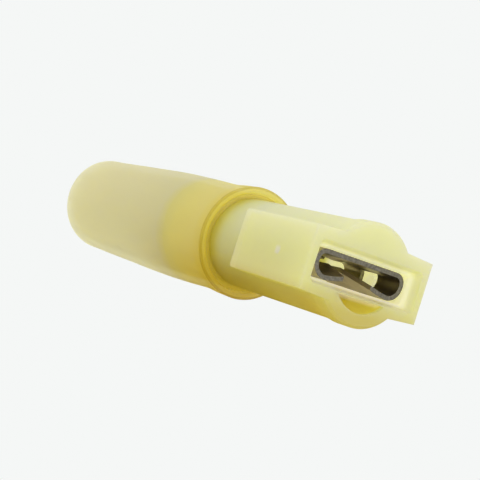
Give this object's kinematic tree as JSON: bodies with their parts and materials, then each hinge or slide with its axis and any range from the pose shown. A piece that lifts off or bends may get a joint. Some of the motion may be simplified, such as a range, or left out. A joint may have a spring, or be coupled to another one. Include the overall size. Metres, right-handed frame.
{
  "type": "heat-shrink insulated female disconnect terminal",
  "caption": "Translucent nylon insulated female tab receptacle with a flat-sided front block and a heat-shrink sleeve over its wire end.",
  "frame": {"origin": "middle of the mating tab, both across and through its thickness, where it enters the front face of the housing", "axes": "+X along the connector, out of its mouth; +Y across the tab; +Z out of the flat base of the receptacle, away from its rolled wings"},
  "size_m": [0.0425, 0.01, 0.0089],
  "materials": {
    "nylon_yellow": "satin translucent moulded nylon, pale yellow, deeper where it is thick",
    "tinned_brass": "bright tin plating over brass strip, bare brass in the sheared edges",
    "polyolefin_yellow": "smooth, slightly waxy translucent heat-shrink tube, pale yellow",
    "hot_melt_adhesive": "glossy, slightly cloudy melt adhesive, pale amber"
  },
  "bodies": {
    "root": {"housing": "nylon_yellow", "receptacle_terminal": "tinned_brass", "heat_shrink_sleeve": "polyolefin_yellow", "adhesive_liner": "hot_melt_adhesive"}
  },
  "joints": []
}
